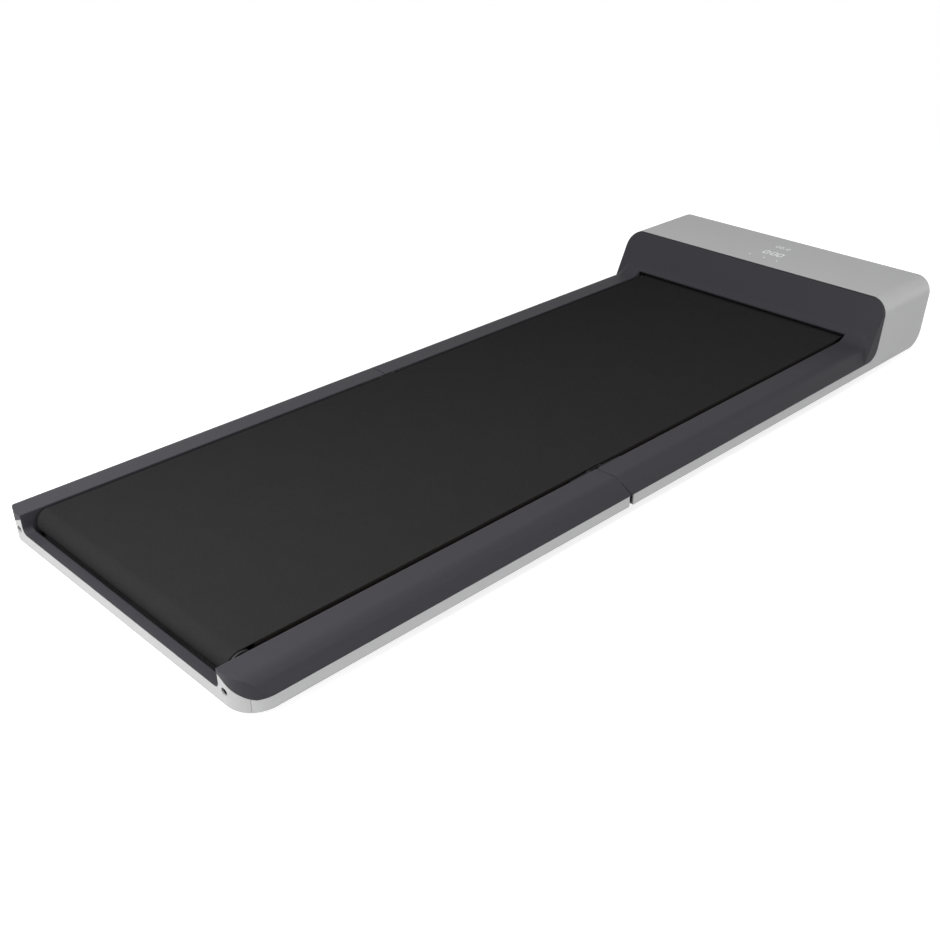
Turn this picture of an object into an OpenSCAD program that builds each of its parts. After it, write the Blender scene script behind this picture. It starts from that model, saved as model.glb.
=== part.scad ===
// Folding under-desk treadmill. The rear half lifts up and over onto the front half.
// Millimetres, X towards the motor head, Y to the left, Z up, floor at zero.

/* [Overall] */
// Length laid out flat, rear end to head front
total_len = 1432; // [1380:1:1500]
// Width across the side strips
total_wid = 547; // [530:1:575]
// Height of the motor head above the floor
head_top = 129; // [124:1:140]
// Height of the foot rails above the floor
rail_top = 56.3; // [55:0.1:59]
// Floor clearance under the body
base_z = 12.3; // [11:0.1:13]

/* [Shell] */
// Top edge of the silver side strip
strip_top = 28.5; // [27:0.1:30]
// Wall of the moulded covers and strips
wall = 2.5; // [2:0.1:2.8]
// Rounding along the outer edge of the foot rails
rail_round = 16; // [14:0.5:17]
// Corner radius of the head seen from behind
head_round = 29; // [24:1:34]
// Rear corner radius seen from above
rear_round = 38; // [32:1:44]
// Depth of the head, front edge to the silver edge on top
head_depth = 149.4; // [146:0.2:156]
// Hollow curve between the rails and the head face
face_round = 35; // [30:1:38]

/* [Walking belt] */
// Width of each foot rail, from the side to the belt opening
rail_wid = 51.3; // [50:0.1:54]
// Gap between the walking belt and each foot rail
belt_gap = 7.7; // [7.6:0.1:9]
// Thickness of the walking belt
belt_th = 1.6; // [1.4:0.1:1.8]
// Radius of the belt rollers
roller_r = 17; // [16.4:0.1:17.2]
// Thickness of the deck board
deck_th = 12; // [10:0.5:12]

/* [Fold hinge] */
// Distance from the rear end to the fold
fold_back = 613; // [600:1:640]
// Half the distance between the two hinge pins
link_r = 12; // [11.5:0.1:13]
// Hinge pin depth below the rail tops
pin_drop = 5; // [4.9:0.1:5.2]

/* [Drive] */
// Radius of the motor can
motor_r = 36; // [32:1:38]
// Radius of the pulley on the front roller
pulley_r = 20; // [19:0.5:20]
// Radius of the pulley on the motor shaft
motor_pulley_r = 10; // [9:0.5:11]
// Radius of the transport wheels
wheel_r = 19; // [18:0.5:20]

/* [Hidden] */
$fn = 64;

hw = total_wid / 2;            // half width
xf = total_len / 2;            // head front at the top
xr = -total_len / 2;           // rear end
open_h = hw - rail_wid;        // half of the opening between the rails
belt_h = open_h - belt_gap;    // half width of the belt
fold_x = xr + fold_back;       // where the halves meet
pin_z = rail_top - pin_drop;   // height of the hinge pins
pin_ax = fold_x + link_r;      // front pin
pin_bx = fold_x - link_r;      // rear pin
seam = 0.15;                   // half the working gap between the halves
far = 60;                      // cutters reach this far past what they cut

// foot rail edge
slope_a = 70;                  // steepness of the lower part of the rail edge
rail_cy = hw - (rail_round + cos(slope_a) * (rail_top - rail_round - strip_top)) / sin(slope_a);
rail_cz = rail_top - rail_round;

// head
front_a = 8.4;                 // lean of the head front
face_a = 27;                   // lean of the dark head face
edge_a = 8.6;                  // lean of the silver edge
toe_r = 34;                    // rounding at the foot of the head front
edge_fillet = 24;              // rounding where the silver edge meets the strip
edge_top_x = xf - head_depth;  // silver edge on top
face_low_x = edge_top_x - (head_top - rail_top) * tan(face_a);  // face at rail level
fillet_x = face_low_x - face_round * tan((90 - face_a) / 2);    // start of the hollow
fillet_z = rail_top + face_round;
sweep_depth = 10;              // the swept section reaches this far below the strip line
open_front = face_low_x + 2.5; // front edge of the belt opening
toe_x = xf + (-toe_r + sin(front_a) * (base_z + toe_r - head_top)) / cos(front_a);
corner_x = edge_top_x + (-edge_fillet + sin(edge_a) * (strip_top + edge_fillet - head_top)) / cos(edge_a);
strip_gap_front = 19;          // front strip starts this far ahead of the fold
strip_gap_rear = 11;           // rear strip ends this far ahead of the fold
seam_foot = 15;                // the seam between the covers leans this far forward
seam_open = 1.5;               // the seam opens this much towards the strips

// rear end
end_low_y = hw - 5.9;          // the end cap rises inwards from here
end_rise = 0.477;
sill_lip = 1;                  // dark rim round the rear notch
notch_r = 8;                   // rounding at the foot of the rear notch
sill_w = 14;
cap_seam_x = xr + 12.5;        // end cap meets the side strips
tension_y = hw - 40;
tension_z = 30.5;
tension_r = 4;
tension_head_r = tension_r + 1.2;
tube_back = xr + 41.8;         // rear end of the side tubes
axle_room = 12;                // the rear axle needs this much room fore and aft
guide_z = base_z + wall + 0.3; // guides clear the floor of the end cap

// belt, rollers, deck
belt_top = rail_top + 0.8;
soft = 0.3;                    // room left around the belt
belt_ro = roller_r + soft + belt_th;
roller_z = belt_top - belt_ro;
front_roller_x = open_front + 19.5;
rear_roller_x = xr + 35.5;
deck_top = belt_top - belt_th - soft;
deck_z = deck_top - deck_th;
deck_h = belt_h - 2.4;
belt_lap = link_r - sqrt(link_r * link_r - pow(belt_top - pin_z, 2)) + 0.4;
roller_h = belt_h + 3;
axle_r = 6;
run = 0.05;                    // running clearance

// frame
plate_t = 1.2;                 // base plate
plate_top = base_z + plate_t;
tube_out = hw - 11.5;
tube_in = tube_out - 22;
tube_top = 41.8;
tube_w = 2;                    // tube wall
block_in = tube_in - 13;       // axle blocks slide against the side tubes
beam_z = 24;
beam_top = 40;
beam_w = 30;
fold_beam = 22;                // beams beside the fold start here
front_beams = [fold_x + fold_beam, fold_x + 215, fold_x + 410, open_front - 40];
rear_beams = [fold_x - fold_beam - beam_w, fold_x - 215 - beam_w, fold_x - 390 - beam_w, rear_roller_x + 24];
plate_h = tube_out;            // half width of the base plates
rib_t = 2;                     // ribs inside the covers
front_rib_x = [fold_x + 60, fold_x + 215, fold_x + 410, fillet_x - 30];
rear_rib_x = [fold_x - 60, fold_x - 215, fold_x - 400, xr + 75];
press_w = 12;                  // pressed stiffening ribs of the base plates
press_d = 2.5;
press_in = 60;
front_press_x = [fold_x + 130, fold_x + 300, fold_x + 470];
rear_press_x = [fold_x - 138, fold_x - 308, fold_x - 478];
vent_n = 8;                    // air slots under the motor
vent_w = 4;
vent_h = 60;                   // half their length
beam_t = 1.5;                  // wall of the cross beams
toe_lip = 8;                   // the floor of the head's toe starts this far ahead of the tubes
axle_plate_h = 22;             // half length of the plates that hold the front axle
axle_plate_t = 4.5;
tube_front = fold_x + 24;      // side tubes start here
head_tube_end = toe_x - 6;
lip_h = tube_out + 0.5;        // strips' bottom lip starts here
lip_cut = base_z + wall + 1;   // cutters for the base plates' place reach this high

// hinge plates sit in the gap beside the belt
arm_out = open_h - 0.3;
arm_t = 3.2;
link_out = arm_out - arm_t - 0.25;
link_t = 3;
eye_r = 4.7;
pin_r = 2.5;

// drive
motor_x = round(toe_x - 20);
motor_z = 62;
pul_y0 = roller_h + 4.5;       // pulleys stand outside the roller's end
pul_y1 = pul_y0 + 12;
motor_y1 = pul_y0 - 16;
motor_y0 = motor_y1 - 110;
shaft_r = 5;
drive_t = 3;                   // thickness of the drive belt
drive_lap = 0.3;               // room between the drive belt and the pulleys

// fixings and feet
screw_r = 2;
head_r = 4;
head_t = 1.6;
stud_r = 3;
foot_r = 16;
foot_y = hw - 41.5;
pad_t = 3;                     // weld pads over the feet and the motor floor
deck_screw_y = deck_h - 22;
base_screw_y = (tube_in + tube_out) / 2;
hinge_bolt_y = tube_in - 11;
hinge_bolt_dx = [8, 22];       // hinge bolts along the beam beside the fold
front_foot_x = [fold_x + 62, fold_x + 390, front_roller_x + 70];
rear_foot_x = [fold_x - 62, rear_roller_x + 75];
front_screw_x = [fold_x + 90, fold_x + 330, fold_x + 560, front_roller_x + 100];
rear_screw_x = [fold_x - 90, fold_x - 300, fold_x - 510];
motor_bolt_x = [motor_x - 30, motor_x + 18];
motor_bolt_y = [motor_y0 + 14, motor_y1 - 14];

// electrics in the head
panel_z = 52;                  // sockets and switches on the head front
panel_x = xf - (head_top - panel_z) * tan(front_a);
inlet_y = 123.5 - hw;
switch_y = inlet_y + 42;
reset_y = inlet_y + 72;
inlet_w = 28;
inlet_h = 20;
switch_w = 20;
switch_h = 13;
switch_wall = 1.5;
rocker_a = 7;                  // tilt of the rocker each way
rocker_d = 3;                  // depth of its pivot
rocker_pin_r = 1.2;
rocker_pin_h = switch_h / 2 - 0.8;
reset_r = 6;
board_x = toe_x - 78;
board_y = inlet_y + 60;
board_w = 90;
board_l = 120;
board_z = plate_top + pad_t + 8;
display_x = edge_top_x + 68;
display_w = 60;
display_l = 110;

// transport wheels
wheel_x = toe_x + 4;
wheel_z = base_z + wheel_r - 5.5;
wheel_y = hw - 48.5;
wheel_t = 14;
wheel_gap = 3;                 // room round each wheel
wheel_pin_r = 3;

// ---- drawing helpers ----
module along_y(y0, y1) translate([0, y1, 0]) rotate([90, 0, 0]) linear_extrude(y1 - y0) children();
module along_x(x0, x1) translate([x0, 0, 0]) rotate([90, 0, 90]) linear_extrude(x1 - x0) children();
module box(x0, x1, y0, y1, z0, z1) translate([x0, y0, z0]) cube([x1 - x0, y1 - y0, z1 - z0]);
module rod_y(x, z, r, y0, y1) translate([x, y0, z]) rotate([-90, 0, 0]) cylinder(h = y1 - y0, r = r);
module rod_x(y, z, r, x0, x1) translate([x0, y, z]) rotate([0, 90, 0]) cylinder(h = x1 - x0, r = r);
module both() { children(); mirror([0, 1, 0]) children(); }

// ---- outer shapes, t is how far inside the surface ----
module rail_section(t) {
    r = rail_round - t;
    knee = [hw - t, strip_top - t * (1 - sin(slope_a)) / cos(slope_a)];
    side = [rail_cy + r * sin(slope_a), rail_cz + r * cos(slope_a)];
    polygon([[-hw + t, base_z + t], [hw - t, base_z + t], knee, side, [rail_cy, rail_cz], [rail_cy, rail_top - t],
        [-rail_cy, rail_top - t], [-rail_cy, rail_cz], [-side[0], side[1]], [-knee[0], knee[1]]]);
    for (s = [-1, 1]) translate([s * rail_cy, rail_cz]) circle(r);
}

module head_section(t) {
    r = head_round - t;
    translate([-(hw - t), base_z + t]) square([2 * (hw - t), head_top - head_round - base_z - t]);
    translate([-(hw - head_round), base_z + t]) square([2 * (hw - head_round), head_top - base_z - 2 * t]);
    for (s = [-1, 1]) translate([s * (hw - head_round), head_top - head_round]) circle(r);
}

// side view of the head behind its leaning front
module head_side(t) {
    r = toe_r - t;
    top = head_top - t;
    low = base_z + t;
    face = t / cos(face_a);
    polygon([[face_low_x + face + (low - rail_top) * tan(face_a), low],
        [face_low_x + face + (top - rail_top) * tan(face_a), top],
        [xf - t / cos(front_a) - t * tan(front_a), top],
        [toe_x + r * cos(front_a), base_z + toe_r - r * sin(front_a)],
        [toe_x, base_z + toe_r], [toe_x, low]]);
    translate([toe_x, base_z + toe_r]) circle(r);
}

module plan_outline(t) {
    r = rear_round - t;
    translate([xr + rear_round, -(hw - t)]) square([-xr, 2 * (hw - t)]);
    translate([xr + t, -(hw - rear_round)]) square([rear_round, 2 * (hw - rear_round)]);
    for (s = [-1, 1]) translate([xr + rear_round, s * (hw - rear_round)]) circle(r);
}

// rail section seen from the centre of the hollow curve, for sweeping it up the head
module swept_section(t) intersection() {
    translate([fillet_z, 0]) rotate(90) rail_section(t);
    translate([face_round - 1, -hw - 1]) square([fillet_z - strip_top - face_round + sweep_depth, 2 * hw + 2]);
}

module front_body(t) {
    along_x(fold_x - far, fillet_x + far) rail_section(t);
    translate([fillet_x, 0, fillet_z]) rotate([90, 90, 0])
        rotate_extrude(angle = 90 - face_a) swept_section(t);
    intersection() {
        along_y(-hw, hw) head_side(t);
        along_x(face_low_x - far, xf + far) head_section(t);
    }
}

module rear_body(t) intersection() {
    translate([0, 0, base_z + t]) linear_extrude(rail_top - base_z) plan_outline(t);
    along_x(xr - 1, fold_x + far) rail_section(t);
}

// ---- where one half stops and the other starts, seen from the side ----
module rounded_corner(px) intersection() {
    translate([px, pin_z]) circle(link_r - seam);
    translate([fold_x - far, pin_z]) square([2 * far, far]);
}

module front_part() {
    rounded_corner(pin_ax);
    polygon([[fold_x + seam, pin_z], [pin_ax, pin_z], [pin_ax, head_top + far], [xf + far, head_top + far],
        [xf + far, 0], [fold_x + strip_gap_front, 0], [fold_x + strip_gap_front, strip_top],
        [fold_x + seam_foot + seam_open, strip_top]]);
}

module rear_part() {
    rounded_corner(pin_bx);
    polygon([[fold_x - seam, pin_z], [pin_bx, pin_z], [pin_bx, head_top + far], [xr - far, head_top + far],
        [xr - far, 0], [fold_x + strip_gap_rear, 0], [fold_x + strip_gap_rear, strip_top],
        [fold_x + seam_foot, strip_top]]);
}

// everything silver on the front half, seen from the side
module silver_part() {
    n = [cos(edge_a), -sin(edge_a)];
    low_x = edge_top_x - (head_top - strip_top) * tan(edge_a);
    c = [corner_x, strip_top + edge_fillet];
    translate([fold_x, 0]) square([xf + far - fold_x, strip_top]);
    polygon([[low_x, strip_top - 1], [edge_top_x + far * tan(edge_a), head_top + far],
        [xf + far, head_top + far], [xf + far, strip_top - 1]]);
    difference() {
        polygon([[c[0], strip_top - 1], [low_x + 1, strip_top - 1], c + edge_fillet * n, c]);
        translate(c) circle(edge_fillet);
    }
}

// the end cap climbs inwards, seen from behind
module end_silver() {
    top = strip_top + end_rise * (end_low_y - open_h);
    polygon([[-hw - 1, 0], [hw + 1, 0], [hw + 1, strip_top], [end_low_y, strip_top], [open_h, top],
        [-open_h, top], [-end_low_y, strip_top], [-hw - 1, strip_top]]);
}

// notch between the rear ends of the rails, g is how much wider it is cut
module rear_notch(g) {
    r = notch_r;
    low = strip_top + sill_lip;
    translate([-(open_h - r), low - g]) square([2 * (open_h - r), far]);
    translate([-(open_h + g), low + r]) square([2 * (open_h + g), far]);
    for (s = [-1, 1]) translate([s * (open_h - r), low + r]) circle(r + g);
}

// ---- front half, outside ----
module side_view_of_seam_wall() {
    difference() {
        front_part();
        translate([wall, 0]) front_part();
        translate([fold_x - far, 0]) square([3 * far, strip_top]);
    }
}

module front_cover() color([0.27, 0.27, 0.29]) difference() {
    union() {
        difference() {
            intersection() {
                difference() {
                    front_body(0);
                    front_body(wall);
                }
                along_y(-hw - 1, hw + 1) difference() {
                    front_part();
                    silver_part();
                }
            }
            box(fold_x - far, open_front, -open_h, open_h, 0, rail_top + far);
        }
        // inner walls beside the belt, closed ends at the fold, ribs on the frame
        both() intersection() {
            front_body(wall / 2);
            union() {
                along_y(-open_h - wall, -open_h) intersection() {
                    front_part();
                    translate([fold_x - far, tube_top]) square([open_front - fold_x + far, far]);
                }
                along_y(-hw, -open_h) side_view_of_seam_wall();
                for (x = front_rib_x) box(x, x + rib_t, -hw + 1, -open_h, tube_top, rail_top);
            }
        }
    }
    // room for the drive belt
    rod_y(front_roller_x, roller_z, pulley_r + drive_lap + drive_t + 1.5, open_h - 1, pul_y1);
}

module front_shell() color([0.72, 0.72, 0.72]) difference() {
    intersection() {
        difference() {
            front_body(0);
            front_body(wall);
        }
        along_y(-hw - 1, hw + 1) intersection() {
            front_part();
            silver_part();
        }
    }
    box(fold_x - far, head_tube_end + toe_lip, -lip_h, lip_h, 0, lip_cut);
    on_panel(inlet_y) box(-far, far, -inlet_w / 2, inlet_w / 2, -inlet_h / 2, inlet_h / 2);
    on_panel(switch_y) box(-far, far, -switch_w / 2, switch_w / 2, -switch_h / 2, switch_h / 2);
    on_panel(reset_y) rod_x(0, 0, reset_r, -far, far);
    both() wheel_room(0);
}

// a place on the leaning head front
module on_panel(y) translate([panel_x, y, panel_z]) rotate([0, front_a, 0]) children();

// room for a transport wheel, cut from the shell and plate
module wheel_room(t) intersection() {
    box(wheel_x - wheel_r - wheel_gap, xf, -wheel_y - wheel_t / 2 - wheel_gap,
        -wheel_y + wheel_t / 2 + wheel_gap, 0, wheel_z + wheel_r);
    rod_y(wheel_x, wheel_z, wheel_r + wheel_gap, -hw, hw);
}

module base_outline_cuts(xs) {
    for (x = xs) for (y = [-base_screw_y, base_screw_y])
        translate([x, y, 0]) cylinder(h = plate_top + tube_w + 1, r = screw_r);
}

module foot_cuts(xs) for (x = xs) both()
    translate([x, -foot_y, 0]) cylinder(h = plate_top + pad_t + 1, r = stud_r);

module pressed_rib(x) box(x, x + press_w, -plate_h + press_in, plate_h - press_in, base_z - press_d, base_z);

// air slots right through whatever is under the motor
module vents() for (i = [0:vent_n - 1])
    box(motor_x + (2 * i - vent_n + 1) * vent_w, motor_x + (2 * i - vent_n + 2) * vent_w, -vent_h, vent_h,
        base_z - 1, plate_top + pad_t + 1);

module front_base_plate() color([0.12, 0.12, 0.13]) difference() {
    union() {
        box(fold_x + strip_gap_front + 1, head_tube_end + toe_lip - 0.5, -plate_h, plate_h, base_z, plate_top);
        for (x = front_press_x) pressed_rib(x);
    }
    base_outline_cuts(front_screw_x);
    foot_cuts(front_foot_x);
    both() wheel_room(0);
    vents();
}

// ---- front half, frame ----
module side_tube(x0, x1) difference() {
    box(x0, x1, -tube_out, -tube_in, plate_top, tube_top);
    box(x0 - 1, x1 + 1, -tube_out + tube_w, -tube_in - tube_w, plate_top + tube_w, tube_top - tube_w);
}

module beam(x) difference() {
    box(x, x + beam_w, -tube_in, tube_in, beam_z, beam_top);
    box(x + beam_t, x + beam_w - beam_t, -tube_in + tube_w, tube_in - tube_w, beam_z + beam_t, beam_top - beam_t);
}

module deck_screw_cuts(xs) for (x = xs) both()
    translate([x + beam_w / 2, -deck_screw_y, beam_top - 3]) cylinder(h = 4, r = screw_r);

module hinge_bolt_cuts(x) for (dx = hinge_bolt_dx) both()
    translate([x + dx, -hinge_bolt_y, beam_top - 3]) cylinder(h = 4, r = screw_r);

module front_frame() color([0.1, 0.1, 0.11]) difference() {
    union() {
        both() side_tube(tube_front, head_tube_end);
        for (x = front_beams) beam(x);
        both() box(front_roller_x - axle_plate_h, front_roller_x + axle_plate_h, -tube_in, -tube_in + axle_plate_t,
            plate_top, roller_z + 2 * axle_r);
        box(front_roller_x + belt_ro + 15, head_tube_end, -tube_in, tube_in, plate_top, plate_top + pad_t);
        both() for (x = [front_foot_x[0], front_foot_x[1]])
            box(x - foot_r, x + foot_r, -tube_in, -foot_y + foot_r, plate_top, plate_top + pad_t);
    }
    rod_y(front_roller_x, roller_z, axle_r, -tube_in, tube_in);
    base_outline_cuts(front_screw_x);
    foot_cuts(front_foot_x);
    deck_screw_cuts(front_beams);
    hinge_bolt_cuts(front_beams[0]);
    for (x = motor_bolt_x) for (y = motor_bolt_y)
        translate([x, y, plate_top - 1]) cylinder(h = pad_t + 2, r = stud_r);
    both() wheel_room(0);
    vents();
}

// ---- decks ----
module deck(x0, x1, beams) difference() {
    box(x0, x1, -deck_h, deck_h, deck_z, deck_top);
    for (x = beams) both() translate([x + beam_w / 2, -deck_screw_y, deck_z - 1]) {
        cylinder(h = deck_th + 2, r = screw_r);
        translate([0, 0, deck_th + 1 - 3]) cylinder(h = 4, r = head_r);
    }
}

module cushions(beams) difference() {
    for (x = beams) both() box(x + 3, x + beam_w - 3, -deck_h + 4, -deck_h + 44, beam_top, deck_z);
    for (x = beams) both() translate([x + beam_w / 2, -deck_screw_y, beam_top - 1])
        cylinder(h = deck_z - beam_top + 2, r = screw_r);
}

module deck_screws(beams) for (x = beams) both()
    translate([x + beam_w / 2, -deck_screw_y, 0]) {
        translate([0, 0, beam_top - 3]) cylinder(h = deck_top - 3 - beam_top + 3, r = screw_r);
        difference() {
            translate([0, 0, deck_top - 3]) cylinder(h = 2.4, r = head_r);
            translate([0, 0, deck_top - 2]) cylinder(h = 3, r = 2, $fn = 6);
        }
    }

module front_deck() color([0.09, 0.08, 0.08]) deck(fold_x + 1.5, front_roller_x - belt_ro - 2, front_beams);
module rear_deck() color([0.09, 0.08, 0.08]) deck(rear_roller_x + belt_ro + 2, fold_x - 1.5, rear_beams);
module front_cushions() color([0.08, 0.08, 0.08]) cushions(front_beams);
module rear_cushions() color([0.08, 0.08, 0.08]) cushions(rear_beams);
module front_deck_screws() color([0.6, 0.6, 0.62]) deck_screws(front_beams);
module rear_deck_screws() color([0.6, 0.6, 0.62]) deck_screws(rear_beams);

// ---- walking belt, a closed loop parted at the fold ----
module belt_loop(r) {
    square([rear_roller_x, 1]);
    translate([rear_roller_x, roller_z - r]) square([front_roller_x - rear_roller_x, 2 * r]);
    for (x = [rear_roller_x, front_roller_x]) translate([x, roller_z]) circle(r);
}

module walking_belt() along_y(-belt_h, belt_h) difference() {
    belt_loop(belt_ro);
    belt_loop(belt_ro - belt_th);
}

module walking_belt_front() color([0.16, 0.16, 0.16]) intersection() {
    walking_belt();
    box(fold_x + belt_lap, xf, -hw, hw, 0, head_top);
}

module walking_belt_rear() color([0.16, 0.16, 0.16]) intersection() {
    walking_belt();
    box(xr, fold_x - belt_lap, -hw, hw, 0, head_top);
}

// ---- rollers ----
module roller(x) difference() {
    rod_y(x, roller_z, roller_r, -roller_h, roller_h);
    rod_y(x, roller_z, roller_r - 3, -roller_h - 1, roller_h + 1);
}

module roller_bearings(x) both() difference() {
    union() {
        rod_y(x, roller_z, roller_r - 3, -roller_h, -roller_h + 10);
        rod_y(x, roller_z, axle_r + 3, -roller_h - 1, -roller_h + 10);
    }
    rod_y(x, roller_z, axle_r + run, -roller_h - 2, -roller_h + 11);
    difference() {
        rod_y(x, roller_z, roller_r - 5, -roller_h - 2, -roller_h + 1.2);
        rod_y(x, roller_z, axle_r + 3, -roller_h - 2, -roller_h + 2);
    }
}

module roller_axle(x, h) {
    rod_y(x, roller_z, axle_r, -h, h);
}

module front_roller_axle() color([0.7, 0.7, 0.72]) roller_axle(front_roller_x, tube_in);
module rear_roller_axle() color([0.7, 0.7, 0.72]) roller_axle(rear_roller_x, tube_in);
module front_roller() color([0.12, 0.12, 0.13]) roller(front_roller_x);
module rear_roller() color([0.12, 0.12, 0.13]) roller(rear_roller_x);
module front_roller_bearings() color([0.14, 0.14, 0.15]) roller_bearings(front_roller_x);
module rear_roller_bearings() color([0.14, 0.14, 0.15]) roller_bearings(rear_roller_x);

// ribbed pulley drawn as its section, turned about its own axis
module pulley(x, z, r, bore, hub_r, hub_y) translate([x, 0, z]) rotate([-90, 0, 0]) rotate_extrude()
    difference() {
        union() {
            translate([0, pul_y0]) square([r, pul_y1 - pul_y0]);
            translate([0, hub_y]) square([hub_r, pul_y0 - hub_y + 1]);
            for (y = [pul_y0, pul_y1 - 1]) translate([0, y]) square([r + 1.5, 1]);
        }
        translate([-1, hub_y - 1]) square([bore + 1, pul_y1 - hub_y + 2]);
        for (y = [pul_y0 + 2.5 : 2 : pul_y1 - 2]) translate([r - 1, y]) square([2, 1]);
    }

module roller_pulley() color([0.3, 0.3, 0.32]) difference() {
    pulley(front_roller_x, roller_z, pulley_r, axle_r + 0.3, roller_r - 1, roller_h);
    rod_y(front_roller_x, roller_z, axle_r + 5, roller_h - 1, roller_h + 1.6);
}

// ---- drive in the head ----
module motor_body() color([0.2, 0.2, 0.22]) difference() {
    union() {
        rod_y(motor_x, motor_z, motor_r, motor_y0, motor_y1);
        rod_y(motor_x, motor_z, motor_r - 6, motor_y0 - 2, motor_y1 + 3);
        rod_y(motor_x, motor_z, 12, motor_y1, motor_y1 + 6);
        for (a = [30, 210]) translate([motor_x, motor_y0 + 8, motor_z]) rotate([0, a, 0])
            translate([motor_r - 2, 0, -6]) cube([7, 14, 12]);
    }
    rod_y(motor_x, motor_z, shaft_r + run, motor_y0 - 3, motor_y1 + 7);
}

module motor_mount() color([0.5, 0.5, 0.52]) {
    low = plate_top + pad_t;
    difference() {
        union() {
            box(motor_x - 38, motor_x + 27, motor_y0 + 6, motor_y1 - 6, low, low + 3);
            for (y = [motor_y0 + 34, motor_y1 - 38]) {
                box(motor_x - 26, motor_x + 26, y, y + 4, low, motor_z - 18);
                rod_y(motor_x, motor_z, motor_r + 2, y - 4, y + 8);
            }
        }
        rod_y(motor_x, motor_z, motor_r, motor_y0, motor_y1);
        for (x = motor_bolt_x) for (y = motor_bolt_y)
            translate([x, y, low - 1]) cylinder(h = 5, r = stud_r);
    }
}

module motor_shaft() color([0.75, 0.75, 0.77]) rod_y(motor_x, motor_z, shaft_r, motor_y0 - 14, pul_y1 + 1);

module motor_pulley() color([0.3, 0.3, 0.32])
    pulley(motor_x, motor_z, motor_pulley_r, shaft_r, motor_pulley_r - 1.5, motor_y1 + 10);

module motor_fan() color([0.1, 0.1, 0.1]) difference() {
    union() {
        rod_y(motor_x, motor_z, motor_r - 6, motor_y0 - 6, motor_y0 - 4);
        rod_y(motor_x, motor_z, shaft_r + 4, motor_y0 - 14, motor_y0 - 4);
        for (i = [0:10]) translate([motor_x, 0, motor_z]) rotate([0, i * 360 / 11, 0])
            box(shaft_r + 3, motor_r - 7, motor_y0 - 14, motor_y0 - 5, -0.8, 0.8);
    }
    rod_y(motor_x, motor_z, shaft_r, motor_y0 - 15, motor_y0 - 3);
}

// belt round two wheels: an arc on each, joined by its two straight runs
module belt_arc(r, y0, y1, from, sweep) rotate([90, 0, 0]) rotate([0, 0, from]) rotate_extrude(angle = sweep)
    translate([r, -y1]) square([drive_t, y1 - y0]);

module drive_belt() color([0.06, 0.06, 0.06]) {
    y0 = pul_y0 + 1.4;
    y1 = pul_y1 - 1.4;
    r1 = pulley_r + drive_lap;
    r2 = motor_pulley_r + drive_lap;
    d = [motor_x - front_roller_x, motor_z - roller_z];
    mid = atan2(d[1], d[0]);
    b = acos((r1 - r2) / norm(d));
    reach = norm(d) * sin(b);
    splice = 0.6;
    worn = 0.1;
    translate([front_roller_x, 0, roller_z]) {
        belt_arc(r1, y0, y1, mid + b, 360 - 2 * b);
        rotate([0, 90 - mid - b, 0]) box(-splice, reach + splice, y0, y1, r1 + worn, r1 + drive_t - worn);
        rotate([0, b - mid - 90, 0]) box(-splice, reach + splice, y0, y1, worn - r1 - drive_t, -r1 - worn);
    }
    translate([motor_x, 0, motor_z]) belt_arc(r2, y0, y1, mid - b, 2 * b);
}

module front_bolts() color([0.6, 0.6, 0.62]) {
    for (dx = hinge_bolt_dx) both() translate([front_beams[0] + dx, -hinge_bolt_y, 0]) hinge_bolt();
    for (x = motor_bolt_x) for (y = motor_bolt_y) translate([x, y, 0]) {
        translate([0, 0, plate_top + 0.5]) cylinder(h = pad_t + 3, r = stud_r);
        translate([0, 0, plate_top + pad_t + 3]) cylinder(h = 4, r = 5.5, $fn = 6);
    }
}

module hinge_bolt() {
    translate([0, 0, beam_top - 3]) cylinder(h = tube_top - beam_top + 3.5, r = screw_r);
    translate([0, 0, tube_top]) cylinder(h = 2.5, r = head_r, $fn = 6);
}

// ---- electrics in the head ----
module control_board() color([0.1, 0.3, 0.15]) {
    low = plate_top + pad_t;
    box(board_x, board_x + board_w, board_y - board_l / 2, board_y + board_l / 2, board_z, board_z + 1.6);
    for (x = [board_x + 6, board_x + board_w - 6]) for (y = [board_y - board_l / 2 + 6, board_y + board_l / 2 - 6])
        translate([x, y, low]) cylinder(h = board_z - low, r = 3.5);
    for (y = [board_y - 44, board_y - 22]) translate([board_x + 56, y, board_z + 1.6]) cylinder(h = 26, r = 9);
    box(board_x + 48, board_x + 72, board_y - 2, board_y + 22, board_z + 1.6, board_z + 20);
    box(board_x + 48, board_x + 66, board_y + 30, board_y + 46, board_z + 1.6, board_z + 16);
    for (i = [0:3]) box(board_x + 5, board_x + 11, board_y - 50 + i * 26, board_y - 34 + i * 26,
        board_z + 1.6, board_z + 11);
}

module heat_sink() color([0.75, 0.75, 0.77]) {
    box(board_x + 16, board_x + 42, board_y - 50, board_y + 50, board_z + 1.6, board_z + 6);
    for (i = [0:6]) box(board_x + 16 + i * 4, board_x + 18 + i * 4, board_y - 50, board_y + 50,
        board_z + 5, board_z + 30);
}

module display_board() color([0.1, 0.3, 0.15]) {
    top = head_top - wall;
    x0 = display_x - display_w / 2;
    box(x0, x0 + display_w, -display_l / 2, display_l / 2, top - 3.6, top - 2);
    box(x0 + 8, x0 + display_w - 8, -display_l / 2 + 8, display_l / 2 - 8, top - 2, top);
    box(x0 + 10, x0 + 26, -20, 20, top - 6, top - 3.6);
    for (y = [-40, 28]) box(x0 + 34, x0 + 46, y, y + 12, top - 9, top - 3.6);
}

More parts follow.
